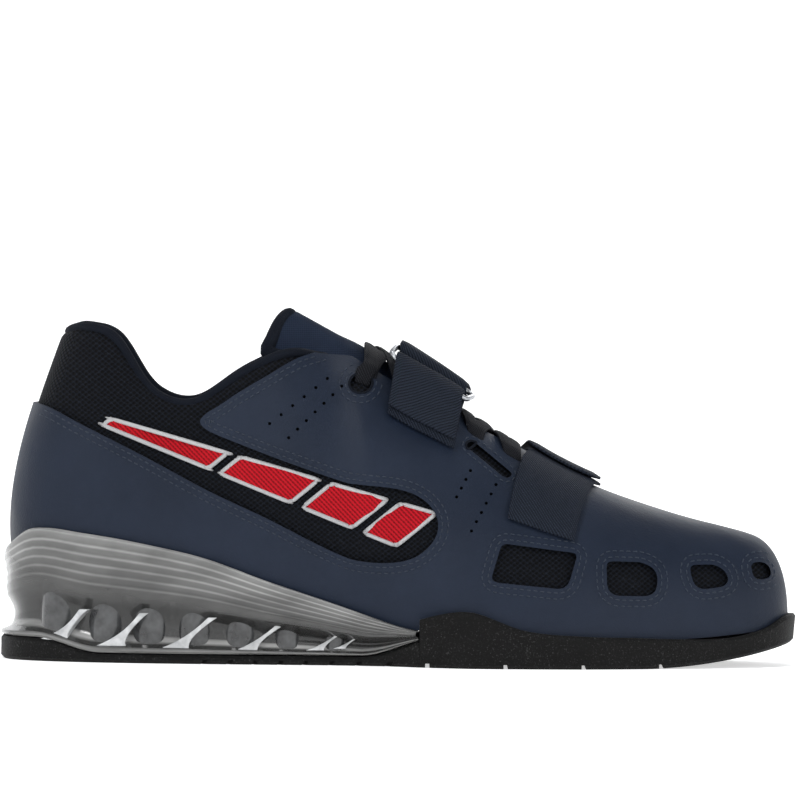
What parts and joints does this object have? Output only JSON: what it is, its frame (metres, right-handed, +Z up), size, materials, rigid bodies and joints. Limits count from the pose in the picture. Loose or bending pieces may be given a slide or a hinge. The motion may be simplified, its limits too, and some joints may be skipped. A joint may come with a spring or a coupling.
{
  "type": "weightlifting shoe",
  "caption": "Right weightlifting shoe with a raised see-through wedge heel, hollow knit upper under cut-out leather, flat lacing and ring straps.",
  "frame": {"origin": "on the floor under the middle of the shoe's bounding box", "axes": "+X along the foot towards the toe, +Z up, so the outer side of this right shoe faces -Y"},
  "size_m": [0.3001, 0.1117, 0.133],
  "materials": {
    "rubber": "matt, finely speckled black rubber",
    "wedge_plastic": "grey see-through plastic, smooth",
    "knit": "dark navy knit mesh",
    "coated_leather": "navy coated leather, fine grain, low sheen",
    "tongue_cloth": "padded navy cloth",
    "insole_cloth": "dark woven cloth",
    "lace_cord": "flat black woven lace",
    "webbing": "dark navy woven webbing",
    "polished_steel": "polished wire"
  },
  "bodies": {
    "root": {"outsole": "rubber", "wedge": "wedge_plastic", "upper": "knit", "leather_shell": "coated_leather", "tongue": "tongue_cloth", "insole": "insole_cloth", "lacing": "lace_cord", "instep_strap": "webbing", "instep_tab": "webbing", "instep_ring": "polished_steel", "forefoot_strap": "webbing", "forefoot_tab": "webbing", "forefoot_ring": "polished_steel"}
  },
  "joints": []
}
